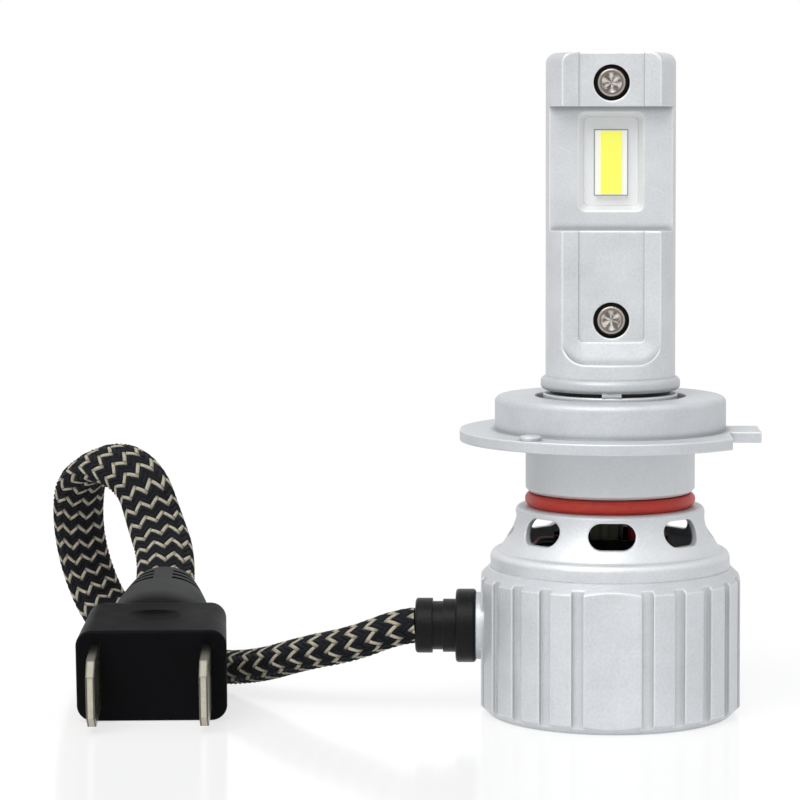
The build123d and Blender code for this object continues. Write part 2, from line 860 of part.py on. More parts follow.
def plug_housing():
    body = loft(
        [
            plug_section(0, plug_width, plug_height, plug_corner),
            plug_section(plug_length, plug_rear_width, plug_rear_height, plug_corner),
        ]
    )
    body = fillet(body.edges().group_by(Axis.Y)[-1], plug_rear_edge)
    body = fillet(body.edges().group_by(Axis.Y)[0], 0.3)
    hollow_radius = (dimple_size[0] ** 2 / 4 + dimple_depth**2) / (2 * dimple_depth)
    dimple = Pos(0, dimple_place, plug_height + hollow_radius - dimple_depth) * Sphere(hollow_radius)
    keep = Pos(0, dimple_place, plug_height) * extrude(
        Ellipse(dimple_size[0] / 2, dimple_size[1] / 2), 3, both=True
    )
    body -= dimple & keep
    for x in (-1, 1):
        middle = x * blade_terminal_spacing / 2
        half, wide = blade_terminal_thickness / 2, blade_terminal_width / 2
        centre = plug_height / 2
        body -= block(
            (middle - half, middle + half), (-1, blade_terminal_seat), (centre - wide, centre + wide)
        )
    body = plug_frame() * body
    relief = loft(
        [
            oval_section(-0.6, *relief_root),
            oval_section(relief_length - relief_neck, *relief_middle),
            oval_section(relief_length, *relief_tip),
        ]
    )
    for i in range(relief_slots):
        y = relief_length - relief_slot_pitch * (i + 1)
        share = (relief_length - y) / relief_neck
        size = [a + (b - a) * share - 2 * relief_slot_depth for a, b in zip(relief_tip, relief_middle)]
        slot = extrude(oval_section(y, *relief_root), relief_slot_width)
        slot -= extrude(oval_section(y, *size), relief_slot_width)
        slot -= block((-relief_web, relief_web), (y - 1, y + 1), (-plug_height, plug_height))
        relief -= slot
    return body + relief_frame() * relief


def plug_terminals():
    blades = []
    for side in (-1, 1):
        middle = side * blade_terminal_spacing / 2
        half, wide = blade_terminal_thickness / 2, blade_terminal_width / 2
        centre = plug_height / 2
        blade = block(
            (middle - half, middle + half),
            (-blade_terminal_reach, blade_terminal_seat),
            (centre - wide, centre + wide),
        )
        tips = blade.edges().filter_by(Axis.X).group_by(Axis.Y)[0]
        blade = chamfer(tips, blade_terminal_chamfer)
        blades.append(plug_frame() * blade)
    return Compound(children=blades)


def lead_route():
    tip = relief_frame() * Pos(0, relief_length, 0)
    behind = relief_frame() * Pos(0, relief_length + relief_exit_run, 0)
    return [(-gland_end, 0, entry_height), *lead_points, tuple(behind.position), tuple(tip.position)]


def lead():
    route = lead_route()
    path = rounded_path(route)
    plane = Plane(origin=route[0], x_dir=(0, 1, 0), z_dir=(-1, 0, 0))
    tube = sweep(plane * Ellipse(lead_width / 2, lead_thickness / 2), path)
    area = math.pi * lead_width * lead_thickness / 4
    print("lead bends", [round(r, 1) for r in bend_radii(route)])
    print("lead length", round(path.length, 1), "volume", round(tube.volume), "expected", round(area * path.length))
    return tube


pieces = {
    "fan_housing": fan_housing,
    "inlet_guard": inlet_guard,
    "heat_sink": heat_sink,
    "seal_ring": seal_ring,
    "grip_ring": grip_ring,
    "mounting_collar": mounting_collar,
    "post_base": post_base,
    "post_front_shell": post_front_shell,
    "post_rear_shell": post_rear_shell,
    "core_plate": core_plate,
    "light_board_front": light_board,
    "light_board_rear": lambda: Rot(0, 0, 180) * light_board(),
    "light_chip_front": light_chip,
    "light_chip_rear": lambda: Rot(0, 0, 180) * light_chip(),
    "phosphor_front": light_phosphor,
    "phosphor_rear": lambda: Rot(0, 0, 180) * light_phosphor(),
    "post_screws": post_screws,
    "fan_impeller": fan_impeller,
    "fan_magnet": fan_magnet,
    "fan_shaft": fan_shaft,
    "fan_frame": fan_frame,
    "fan_bearing": fan_bearing,
    "fan_stator": fan_stator,
    "fan_board": fan_board,
    "driver_case": driver_case,
    "driver_board": driver_board,
    "driver_coil": driver_coil,
    "driver_capacitor": driver_capacitor,
    "driver_chips": driver_chips,
    "wires_red": lambda: wires(1),
    "wires_black": lambda: wires(-1),
    "cable_gland": cable_gland,
    "lead_braid": lead,
    "plug_housing": plug_housing,
    "plug_terminals": plug_terminals,
}

os.makedirs("parts", exist_ok=True)
for name, build in pieces.items():
    export_step(build(), f"parts/{name}.step")
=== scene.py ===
import json
import math
import bpy
import numpy as np
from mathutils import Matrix, Quaternion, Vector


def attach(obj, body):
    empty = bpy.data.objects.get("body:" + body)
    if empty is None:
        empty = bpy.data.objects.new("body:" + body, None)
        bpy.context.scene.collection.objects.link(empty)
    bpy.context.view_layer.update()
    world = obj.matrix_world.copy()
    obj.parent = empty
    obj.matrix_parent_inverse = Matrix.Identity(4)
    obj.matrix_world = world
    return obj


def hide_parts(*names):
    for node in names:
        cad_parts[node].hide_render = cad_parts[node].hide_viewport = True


# The headlight bulb dressed for its picture: materials, the woven lead, a white studio, a camera.
# The lead's route, the widths of edges and grain and the places of the marks are in millimetres in
# the part's own frame, with the front towards -Y. MM turns them into Blender's metres.

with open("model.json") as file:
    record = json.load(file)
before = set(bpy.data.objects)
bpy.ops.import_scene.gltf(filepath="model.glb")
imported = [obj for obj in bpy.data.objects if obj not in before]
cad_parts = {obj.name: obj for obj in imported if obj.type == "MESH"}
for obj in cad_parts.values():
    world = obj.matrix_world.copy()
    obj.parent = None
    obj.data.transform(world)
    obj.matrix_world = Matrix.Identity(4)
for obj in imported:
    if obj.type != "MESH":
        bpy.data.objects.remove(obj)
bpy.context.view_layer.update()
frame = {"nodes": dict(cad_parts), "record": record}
nodes = frame["nodes"]
MM = 0.001
scene = bpy.context.scene
scene.view_settings.view_transform = "Standard"

WHITE = (1.0, 1.0, 1.0)
DARKER_METAL = (0.36, 0.37, 0.38)


def rgba(colour):
    return (*colour, 1.0)


def scaled(colour, k):
    return rgba([min(1.0, c * k) for c in colour])


# ---------------------------------------------------------------- node helpers
class Graph:
    """A material's or a world's node tree, with short calls for the nodes that are used here."""

    def __init__(self, owner):
        owner.use_nodes = True
        self.tree = owner.node_tree
        self.tree.nodes.clear()

    def node(self, kind, values=None, **settings):
        """A new node with its settings, and with its sockets set or linked to the values."""
        made = self.tree.nodes.new(kind)
        for name, value in settings.items():
            setattr(made, name, value)
        for socket, value in (values or {}).items():
            self.put(made.inputs[socket], value)
        return made

    def put(self, socket, value):
        """Links a socket to another socket or to a node's first output, or sets it to a value."""
        if isinstance(value, bpy.types.NodeSocket):
            self.tree.links.new(value, socket)
        elif isinstance(value, bpy.types.Node):
            self.tree.links.new(value.outputs[0], socket)
        else:
            socket.default_value = value

    # arithmetic
    def math(self, operation, a, b=0.0, clamp=False):
        made = self.node("ShaderNodeMath", {0: a, 1: b}, operation=operation, use_clamp=clamp)
        return made.outputs[0]

    def add(self, a, b, clamp=False):
        return self.math("ADD", a, b, clamp)

    def minus(self, a, b):
        return self.math("SUBTRACT", a, b)

    def times(self, *values):
        result = values[0]
        for value in values[1:]:
            result = self.math("MULTIPLY", result, value)
        return result

    def absolute(self, value):
        return self.math("ABSOLUTE", value)

    def distance(self, a, b):
        """How far the point with the coordinates a and b lies from the origin."""
        return self.math("SQRT", self.add(self.math("POWER", a, 2.0), self.math("POWER", b, 2.0)))

    # ramps and masks
    def remap(self, value, low, high, to_low, to_high):
        values = {"Value": value, "From Min": low, "From Max": high,
                  "To Min": to_low, "To Max": to_high}
        return self.node("ShaderNodeMapRange", values).outputs[0]

    def rise(self, value, start, end, top=1.0):
        """0 up to the start, and the top from the end on."""
        return self.remap(value, start, end, 0.0, top)

    def fall(self, value, start, end, top=1.0):
        """The top up to the start, and 0 from the end on."""
        return self.remap(value, start, end, top, 0.0)

    def below(self, value, high, soft=0.03):
        """1 below a limit, falling to 0 over a soft edge."""
        return self.fall(value, high - soft, high + soft)

    def within(self, value, low, high, soft=0.03):
        """1 between two limits, falling to 0 over soft edges."""
        return self.times(self.rise(value, low - soft, low + soft), self.below(value, high, soft))

    def facing_up(self, start, end):
        """Rises from 0 to 1 with the upward part of the surface's normal."""
        normal = self.node("ShaderNodeNewGeometry").outputs["Normal"]
        return self.rise(self.split(normal)[2], start, end)

    # vectors
    def split(self, vector):
        return self.node("ShaderNodeSeparateXYZ", {0: vector}).outputs

    def stretch(self, point, scale):
        """The point, scaled along each axis."""
        return self.node("ShaderNodeMapping", {"Vector": point, "Scale": scale}).outputs[0]

    def in_mm(self):
        """The piece's own coordinates, in millimetres."""
        place = self.node("ShaderNodeTexCoord").outputs["Object"]
        return self.stretch(place, (1 / MM,) * 3)

    # colours and shaders
    def noise(self, point, per_mm, detail=2.0, roughness=0.5):
        values = {"Vector": point, "Scale": per_mm, "Detail": detail, "Roughness": roughness}
        return self.node("ShaderNodeTexNoise", values).outputs[0]

    def mix(self, factor, a, b):
        """The colour between a and b; sockets 6, 7 and 2 are the ones for colours."""
        made = self.node("ShaderNodeMix", data_type="RGBA")
        self.put(made.inputs[0], factor)
        self.put(made.inputs[6], a)
        self.put(made.inputs[7], b)
        return made.outputs[2]

    def paint(self, shade, mask, strength, colour):
        """The shade, with a colour laid over it where the mask is 1."""
        return self.mix(self.times(mask, strength), shade, rgba(colour))

    def seen(self):
        """1 for the rays that show the background: the camera's, and glossy and clear ones."""
        rays = self.node("ShaderNodeLightPath").outputs
        shiny = self.math("MAXIMUM", rays["Is Glossy Ray"], rays["Is Transmission Ray"])
        return self.math("MAXIMUM", rays["Is Camera Ray"], shiny)

    def shader(self, kind, colour, **values):
        """A shader of one colour, with other values by the names of their sockets."""
        return self.node(kind, {"Color": rgba(colour), **values}).outputs[0]

    def surface(self, shader, kind="ShaderNodeOutputMaterial"):
        self.put(self.node(kind).inputs["Surface"], shader)


# ---------------------------------------------------------------- solid finishes
NOISE_SPAN = (0.3, 0.7)         # between these lies nearly all of a noise
FINE_SHARE = 0.55               # of the fine grain in the tone; the soft patches have the rest
ROUGH_SPREAD = 0.08             # of the roughness, from patch to patch
EDGE_TURN = (0.995, 0.85)       # cosine of the rounding's turn, where an edge starts and is full
CREASE_OPEN = (0.45, 0.95)      # open share of the surroundings, where the painted shade of creases is full and ends
CREASE_SHADE = 0.25             # of the colour, at the darkest of the painted shade in creases


def finish(name, colour, rough, metallic=0.0, specular=0.5, spread=0.05, patch=0.5,
           grain=6.0, grain_depth=0.012, streaks=None, edge=0.0, painted_edge_light=0.0, painted_edge_colour=WHITE,
           painted_crease_shade=0.0, crease_reach=0.5, glow=0.0, marks_and_painted_light=None):
    """A solid finish: a base colour that varies by spread, with soft patches and a bumped grain.
    patch and grain are the scales of both, per mm, and streaks stretches the grain along an axis.
    edge, in mm, rounds the edges, and painted_edge_light is how far they take painted_edge_colour:
    a painted highlight along them, or a painted reflection where that colour is dark.
    painted_crease_shade is how far inner corners darken with painted shade, within crease_reach,
    in mm.
    glow makes the surface shine faintly by itself: a painted glow.
    marks_and_painted_light paints the places of a piece that differ, painted light and painted
    shade among them: it takes the graph, the point and the shade."""
    made = bpy.data.materials.new(name)
    g = Graph(made)
    point = g.in_mm()
    fine = g.noise(g.stretch(point, streaks) if streaks else point, grain, 3.0, 0.6)
    broad = g.noise(point, patch)
    tone = g.add(g.times(fine, FINE_SHARE), g.times(broad, 1 - FINE_SHARE))
    tone = g.rise(tone, *NOISE_SPAN)
    shade = g.mix(tone, scaled(colour, 1 - spread), scaled(colour, 1 + spread))
    bump = {"Height": fine, "Distance": grain_depth * MM}
    if edge:
        rounded = g.node("ShaderNodeBevel", {"Radius": edge * MM}, samples=6).outputs[0]
        bump["Normal"] = rounded
        flat = g.node("ShaderNodeNewGeometry").outputs["Normal"]
        turn = g.node("ShaderNodeVectorMath", {0: rounded, 1: flat}, operation="DOT_PRODUCT")
        # painted highlight along the rounded edges, or a painted dark reflection where the colour
        # is dark
        painted_edge = g.rise(turn.outputs["Value"], *EDGE_TURN, painted_edge_light)
        shade = g.mix(painted_edge, shade, rgba(painted_edge_colour))
    if painted_crease_shade:
        # painted shade in inner corners, darker where less of the surroundings is open
        around = g.node("ShaderNodeAmbientOcclusion", {"Distance": crease_reach * MM},
                        samples=8, only_local=True)
        crease_shade_mask = g.fall(around.outputs["AO"], *CREASE_OPEN, painted_crease_shade)
        shade = g.mix(crease_shade_mask, shade, scaled(colour, CREASE_SHADE))
    if marks_and_painted_light:
        shade = marks_and_painted_light(g, point, shade)
    half = ROUGH_SPREAD / 2
    shader = g.node("ShaderNodeBsdfPrincipled", {
        "Base Color": shade,
        "Metallic": metallic,
        "Roughness": g.remap(broad, *NOISE_SPAN, rough - half, rough + half),
        "Normal": g.node("ShaderNodeBump", bump).outputs[0],
        "Specular IOR Level": specular,
    })
    if glow:
        g.put(shader.inputs["Emission Color"], shade)
        g.put(shader.inputs["Emission Strength"], glow)
    g.surface(shader)
    return made


# ---------------------------------------------------------------- marks, painted light and painted shade
# Places in mm: heights above the floor, distances from the lamp's axis, and Y, which is negative
# in front of the axis.
DRUM_RIM = (12.5, 13.74)        # heights of the drum's rim, whose upward faces get painted shade
SINK_FOOT = (13.72, 13.85)      # heights over which the painted light on the sink's upward slopes begins
SKIRT = (19.0, 25.2)            # heights of the collar's skirt, which gets painted light
NECK_GROOVE = (30.0, 30.6)      # heights of the gap between the neck and the post's bead, painted with shade
NECK_GROOVE_RADII = (5.0, 5.72)
NECK_GLINT = (29.3, 29.95)      # heights of the painted glints under the gap
BEAD = (30.6, 33.0)             # heights

SCREW_HEIGHTS = (37.07, 59.07)  # of the two screws' axes
BORE_RADII = (0.9, 1.74)        # of the counterbore's visible ring, painted near black as shade
POST_FACE = (-3.47, -3.43)      # Y over which the post's outer face ends
BORE_FLOOR = (-2.0, -1.9)       # Y over which the counterbore ends
SOCKET_RADIUS = 0.92            # of the screws' sockets
HEAD_RING = 1.1                 # outer radius of the groove around the socket, painted with shade
LOBES = 6                       # of each socket

LIGHT_HEIGHT = 51.67            # of the chip's middle
CHIP_SHADOW = (1.6, 3.1)          # half width and half height of the chip's painted shadow on the board
POCKET_WIDTH = 3.1              # half width
POCKET = (47.1, 56.45)          # heights
POCKET_DEPTH = (1.9, 1.97)      # distance from the middle plane over which the pocket ends
SCRATCHED_FACE = (-2.05, -1.95)     # Y over which it ends
SCRATCHES = ((-5.1, 53.3, -3.5, 52.45), (3.25, 49.6, 5.1, 48.75))   # X and Z of both ends
SCRATCH_HALF = 0.035            # half width

RELIEF_LIT = (2.4, 4.5)        # Y over which the painted light on the strain relief's top begins
BLADE_SIDE = (0.99813, 0.06105)     # direction of the blades' thickness, in X and Y
BLADE_MIDDLES = (-47.82, -37.62)    # middle planes of the two blades along it
BLADE_EDGE = (0.25, 0.375)      # distance from the middle plane of the blades' rounded edges, which get a painted dark reflection


def slope_painted_light(g, point, shade):
    """Painted light on the sink's upward slopes, and painted shade on the upward faces of the
    drum's rim below.
    """
    up = g.facing_up(0.12, 0.5)
    height = g.split(point)[2]
    # painted shade on the rim's upward faces
    shade = g.paint(shade, g.times(up, g.within(height, *DRUM_RIM, 0.05)), 0.25, DARKER_METAL)
    # painted light on the upward slopes
    return g.paint(shade, g.times(up, g.rise(height, *SINK_FOOT)), 0.25, WHITE)


def collar_painted_light(g, point, shade):
    """Painted light on the collar's skirt, which lies in the flange's shade, to make it lighter
    than its rim.
    """
    return g.paint(shade, g.within(g.split(point)[2], *SKIRT, 0.2), 0.22, WHITE)


def base_marks_and_painted_light(g, point, shade):
    """The bead, darker than the rest, painted shade in the gap between the post's bead and the
    neck, and painted glints under it.
    """
    x, y, z = g.split(point)
    shade = g.paint(shade, g.within(z, *BEAD, 0.05), 0.35, DARKER_METAL)
    # painted shade in the gap between the bead and the neck
    gap = g.times(g.within(g.distance(x, y), *NECK_GROOVE_RADII, 0.02),
                  g.within(z, *NECK_GROOVE))
    shade = g.paint(shade, gap, 1.0, (0.008, 0.009, 0.012))
    # painted glints: white specks from noise under the gap
    painted_glint = g.rise(g.noise(point, 0.55, 1.0), 0.56, 0.62)
    return g.paint(shade, g.times(painted_glint, g.within(z, *NECK_GLINT, 0.06)), 0.8, WHITE)


def post_marks_and_painted_light(g, point, shade):
    """Painted shade in the screws' counterbores, painted light on the pocket walls around the
    light, and two scratches.
    """
    x, y, z = g.split(point)
    behind_face = g.rise(y, *POST_FACE)
    for height in SCREW_HEIGHTS:
        radius = g.distance(x, g.minus(z, height))
        # painted shade: the counterbore's ring is painted near black
        bore_shade = g.times(g.within(radius, *BORE_RADII, 0.01), behind_face, g.fall(y, *BORE_FLOOR))
        shade = g.paint(shade, bore_shade, 1.0, (0.006, 0.006, 0.007))
    # painted light on the pocket's walls around the light
    pocket_light = g.times(g.below(g.absolute(x), POCKET_WIDTH), g.within(z, *POCKET),
                     g.fall(g.absolute(y), *POCKET_DEPTH))
    shade = g.paint(shade, pocket_light, 0.75, (0.93, 0.94, 0.93))
    for x0, z0, x1, z1 in SCRATCHES:
        length = math.hypot(x1 - x0, z1 - z0)
        away = g.add(g.times(g.minus(x, x0), (z1 - z0) / length),
                     g.times(g.minus(z, z0), (x0 - x1) / length))
        line = g.times(g.within(away, -SCRATCH_HALF, SCRATCH_HALF), g.within(x, x0, x1, 0.3),
                       g.within(z, z1, z0, 0.3), g.fall(y, *SCRATCHED_FACE))
        shade = g.paint(shade, line, 0.5, WHITE)
    return shade


def board_painted_shadow(g, point, shade):
    """The chip's painted shadow on the white board, dark just around where the chip stands."""
    x, _, z = g.split(point)
    half_width, half_height = CHIP_SHADOW
    chip_shadow_mask = g.times(g.below(g.absolute(x), half_width, 0.04),
                   g.below(g.absolute(g.minus(z, LIGHT_HEIGHT)), half_height, 0.04))
    return g.paint(shade, chip_shadow_mask, 0.85, (0.16, 0.17, 0.12))


def screw_painted_light(g, point, shade):
    """Painted shade in the groove around the six-lobed socket, and the socket's painted light and
    shade, with painted glints.
    """
    x, _, z = g.split(point)
    grain = g.noise(g.stretch(point, (1.0, 0.2, 1.0)), 1.7)
    for height in SCREW_HEIGHTS:
        up = g.minus(z, height)
        radius = g.distance(x, up)
        # painted shade in the groove around the socket
        ring = g.within(radius, SOCKET_RADIUS, HEAD_RING, 0.07)
        shade = g.paint(shade, ring, 0.7, (0.05, 0.042, 0.036))
        # painted light and shade on the socket's lobes, with painted glints
        lobes = g.math("COSINE", g.add(g.times(g.math("ARCTAN2", x, up), LOBES), 0.6))
        light = g.rise(g.add(g.times(lobes, 0.22), g.times(grain, 1.5)), 0.55, 1.05)
        socket_light_and_shade = g.mix(light, rgba((0.07, 0.06, 0.052)), rgba((0.86, 0.82, 0.77)))
        socket = g.below(radius, SOCKET_RADIUS, 0.05)
        shade = g.mix(g.times(socket, 0.75), shade, socket_light_and_shade)
    return shade


def relief_painted_light(g, point, shade):
    """Painted light on the upward faces of the plug's strain relief, greyer than the rest."""
    lit_top = g.times(g.facing_up(0.35, 0.95), g.rise(g.split(point)[1], *RELIEF_LIT))
    return g.paint(shade, lit_top, 1.0, (0.06, 0.061, 0.062))


def blade_painted_reflection(g, point, shade):
    """Painted dark reflection of the plug on the blades' rounded edges, and painted shade on their
    sloping tips.
    """
    x, y, _ = g.split(point)
    across = g.add(g.times(x, BLADE_SIDE[0]), g.times(y, BLADE_SIDE[1]))
    one, other = (g.absolute(g.minus(across, middle)) for middle in BLADE_MIDDLES)
    # painted dark reflection along the rounded edges
    edges = g.within(g.math("MINIMUM", one, other), *BLADE_EDGE)
    shade = g.paint(shade, edges, 0.9, (0.05, 0.05, 0.045))
    # painted shade on the upward-facing tips
    return g.paint(shade, g.facing_up(0.1, 0.45), 0.9, (0.11, 0.11, 0.09))


# ---------------------------------------------------------------- looks of the CAD pieces
# by material slot, or by piece where one differs from its slot
looks = {
    "cast_aluminium": dict(
        colour=(0.66, 0.68, 0.70), rough=0.44, metallic=0.35, spread=0.11, patch=0.25,
        grain=4.5, grain_depth=0.024, edge=0.3, painted_edge_light=0.95, painted_crease_shade=0.4, crease_reach=0.8,
        marks_and_painted_light=slope_painted_light),
    "collar_metal": dict(
        colour=(0.60, 0.62, 0.64), rough=0.5, metallic=0.35, spread=0.1, patch=0.3,
        grain=4.5, grain_depth=0.018, edge=0.28, painted_edge_light=0.9, painted_crease_shade=0.8, crease_reach=0.7,
        marks_and_painted_light=collar_painted_light),
    "post_metal": dict(
        colour=(0.65, 0.665, 0.68), rough=0.46, metallic=0.35, spread=0.11, patch=0.3,
        grain=4.5, grain_depth=0.02, edge=0.32, painted_edge_light=1.0, painted_crease_shade=0.9, crease_reach=0.8,
        marks_and_painted_light=post_marks_and_painted_light),
    "copper": dict(
        colour=(0.40, 0.19, 0.115), rough=0.38, metallic=1.0, grain=5.0, streaks=(1.0, 1.0, 0.15)),
    "red_silicone": dict(
        colour=(0.56, 0.05, 0.034), rough=0.42, specular=0.3, spread=0.16,
        grain=2.5, grain_depth=0.015, streaks=(0.4, 0.4, 2.0)),
    "black_rubber": dict(
        colour=(0.007, 0.007, 0.008), rough=0.34, specular=0.12, spread=0.2,
        grain=3.0, grain_depth=0.03, edge=0.1, painted_edge_light=0.02),
    "white_mask": dict(
        colour=(0.86, 0.87, 0.87), rough=0.4, spread=0.02, grain=4.0, grain_depth=0.006,
        marks_and_painted_light=board_painted_shadow),
    # the chip and the phosphor get a faint painted glow, though the lamp is not lit
    "chip_white": dict(
        colour=(0.98, 0.98, 0.97), rough=0.35, spread=0.01, grain=5.0, grain_depth=0.003,
        glow=0.04),
    "phosphor": dict(
        colour=(0.96, 0.96, 0.13), rough=0.45, spread=0.02, grain=8.0, grain_depth=0.008,
        glow=0.14),
    "screw_steel": dict(
        colour=(0.42, 0.37, 0.33), rough=0.24, metallic=0.9, spread=0.15,
        grain=4.0, grain_depth=0.006, edge=0.1, painted_edge_light=0.35, marks_and_painted_light=screw_painted_light),
    "fan_plastic": dict(colour=(0.010, 0.010, 0.010), rough=0.45, spread=0.2, grain=4.0),
    "magnet": dict(colour=(0.05, 0.05, 0.052), rough=0.5, metallic=0.4),
    "bronze": dict(colour=(0.45, 0.26, 0.09), rough=0.4, metallic=1.0, grain=8.0),
    "stator_steel": dict(
        colour=(0.28, 0.28, 0.29), rough=0.4, metallic=1.0, streaks=(0.2, 0.2, 4.0)),
    "board_green": dict(
        colour=(0.012, 0.05, 0.02), rough=0.4, specular=0.2, spread=0.15, grain=2.0),
    "driver_plastic": dict(
        colour=(0.006, 0.006, 0.006), rough=0.5, specular=0.02, spread=0.2, grain=4.0),
    "ferrite": dict(colour=(0.035, 0.035, 0.03), rough=0.7, grain_depth=0.03),
    "capacitor_can": dict(
        colour=(0.06, 0.065, 0.04), rough=0.45, metallic=0.2, specular=0.2,
        streaks=(1.0, 1.0, 0.2)),
    "wire_red": dict(colour=(0.42, 0.012, 0.02), rough=0.32, spread=0.08, grain=3.0),
    "wire_black": dict(colour=(0.012, 0.012, 0.013), rough=0.35, spread=0.15, grain=3.0),
    "plug_plastic": dict(
        colour=(0.005, 0.005, 0.006), rough=0.42, specular=0.03, spread=0.15,
        grain=5.0, grain_depth=0.016, edge=0.15, painted_edge_light=0.015, marks_and_painted_light=relief_painted_light),
    # the blades' rounded edges also take a painted dark reflection through the edge colour
    "terminal_tin": dict(
        colour=(0.47, 0.44, 0.36), rough=0.3, metallic=1.0, spread=0.16,
        grain=2.5, grain_depth=0.01, streaks=(1.0, 0.2, 1.0),
        edge=0.25, painted_edge_light=0.85, painted_edge_colour=(0.12, 0.12, 0.1), marks_and_painted_light=blade_painted_reflection),
}
looks["post_base"] = dict(looks["post_metal"], marks_and_painted_light=base_marks_and_painted_light)
materials = {name: finish(name, **look) for name, look in looks.items()}
slots = {part["node"]: part["material_slot"] for part in frame["record"]["subparts"]}
for name, thing in nodes.items():
    look = name if name in looks else slots[name]
    if look in materials:
        thing.data.materials.clear()
        thing.data.materials.append(materials[look])


# ---------------------------------------------------------------- woven lead
# the control points of the lead's middle line, from the gland to the plug
ROUTE = (
    (-18.3, 0.0, 8.0), (-20.0, 0.0, 7.85), (-24.2, 0.8, 6.05), (-29.2, 2.8, 4.75),
    (-33.6, 5.6, 3.0), (-38.2, 9.8, 2.0), (-42.6, 16.6, 1.75), (-47.2, 24.8, 1.9),
    (-52.3, 31.6, 3.4), (-54.7, 32.4, 8.4), (-55.2, 29.8, 14.1), (-54.2, 26.4, 19.15),
    (-50.9, 23.3, 21.0), (-47.1, 20.6, 19.3), (-45.4, 18.2, 15.2), (-43.7, 14.4, 12.1),
    (-43.49, 11.25, 10.06),
)
# directions of the oval's wide side, each at a share of the length, turned smoothly in between
WIDE_SIDE = (
    (0.0, (0.0, 1.0, 0.0)),
    (0.3, (0.75, 0.66, 0.0)),
    (0.62, (1.0, 0.12, 0.0)),
    (0.82, (1.0, -0.1, 0.1)),
    (1.0, (1.0, 0.06, 0.0)),
)
LEAD_WIDTH, LEAD_THICKNESS = 5.2, 3.2   # mm
LINE_STEPS = 52                 # steps of the middle line from one control point to the next
SIDES = 168                     # corners of one ring of the mesh
PASS = 3                        # strands that each strand passes over, and then under
REPEAT = 2 * PASS
SHOWN_RUN = PASS + 1            # strand widths along which a strand shows before it dips
CARRIERS = 24                   # strand widths around the lead, a multiple of REPEAT
STRAND_STEP = 0.65              # mm along the lead for one strand width
STRAND_RISE = 0.3               # mm, crown of a strand over the crossings
STRAND_MIDDLE = 0.85            # of the rise, at the oval's nominal outline
FLARE = 0.1                     # of the width, gained over FLARE_SPAN before the plug
FLARE_SPAN = (0.78, 0.93)       # shares of the length
FIBRES = 38.0                   # radians of the fibres' wave across a strand


def line_points(name, route, steps):
    """The points of the NURBS spline that has the route as its control points."""
    data = bpy.data.curves.new(name, "CURVE")
    data.dimensions = "3D"
    data.resolution_u = steps
    spline = data.splines.new("NURBS")
    spline.points.add(len(route) - 1)
    for point, place in zip(spline.points, route):
        point.co = (*(v * MM for v in place), 1.0)
    spline.order_u = 3
    spline.use_endpoint_u = True
    line = bpy.data.objects.new(name, data)
    scene.collection.objects.link(line)
    mesh = bpy.data.meshes.new_from_object(line)
    points = [v.co.copy() for v in mesh.vertices]
    bpy.data.objects.remove(line)
    bpy.data.meshes.remove(mesh)
    return points


def square_to(tangent, direction):
    """The direction's part that is square to the tangent, as a unit vector."""
    return (direction - tangent * direction.dot(tangent)).normalized()


def carried_frames(points, stages):
    """The wide and the thin side's directions at each point of the line.
    They are carried along it without twist, and then turned to each stage's wide side."""
    last = len(points) - 1
    tangents = [(points[min(i + 1, last)] - points[max(i - 1, 0)]).normalized()
                for i in range(last + 1)]
    widths = [square_to(tangents[0], Vector(stages[0][1]))]
    for before, now in zip(tangents, tangents[1:]):
        widths.append(before.rotation_difference(now) @ widths[-1])
    shares, turns = [], []
    for share, wide in stages:
        i = round(share * last)
        target = square_to(tangents[i], Vector(wide))
        turn = math.atan2(widths[i].cross(target).dot(tangents[i]), widths[i].dot(target))
        # an oval looks the same after half a turn, so the nearest of those is taken
        near = turns[-1] if turns else 0.0
        turns.append(turn + math.pi * round((near - turn) / math.pi))
        shares.append(share)
    frames = []
    for i, (tangent, width) in enumerate(zip(tangents, widths)):
        share = i / last
        k = min(max(np.searchsorted(shares, share) - 1, 0), len(shares) - 2)
        part = (share - shares[k]) / (shares[k + 1] - shares[k])
        turn = turns[k] + (turns[k + 1] - turns[k]) * part * part * (3 - 2 * part)
        across = Quaternion(tangent, turn) @ width
        frames.append((across, tangent.cross(across)))
    return frames


def weave_height(around, along):
    """Height from 0 to 1 of the braid, at coordinates in strand widths."""
    a, b = along + around, along - around
    over = np.mod(np.floor(a) - np.floor(b), REPEAT) < PASS
    across = np.where(over, np.mod(a, 1.0), np.mod(b, 1.0)) - 0.5
    run = np.where(over, np.floor(a) - b + 1, a - np.floor(b) - PASS)
    place = np.clip(np.mod(run, REPEAT) / SHOWN_RUN, 0, 1)
    crown = np.sqrt(np.clip(1 - (2 * across) ** 2, 0, 1))
    arch = np.sqrt(np.clip(np.sin(np.pi * place), 0, 1))
    return crown * (0.35 + 0.65 * arch)


def oval_angles(half_w, half_t):
    """Angles, one for each side, at even spacing along the oval's outline."""
    fine = np.linspace(0, 2 * math.pi, 2001)
    steps = np.hypot(np.diff(half_w * np.cos(fine)), np.diff(half_t * np.sin(fine)))
    outline = np.concatenate([[0], np.cumsum(steps)])
    return np.interp(np.arange(SIDES) / SIDES * outline[-1], outline, fine)


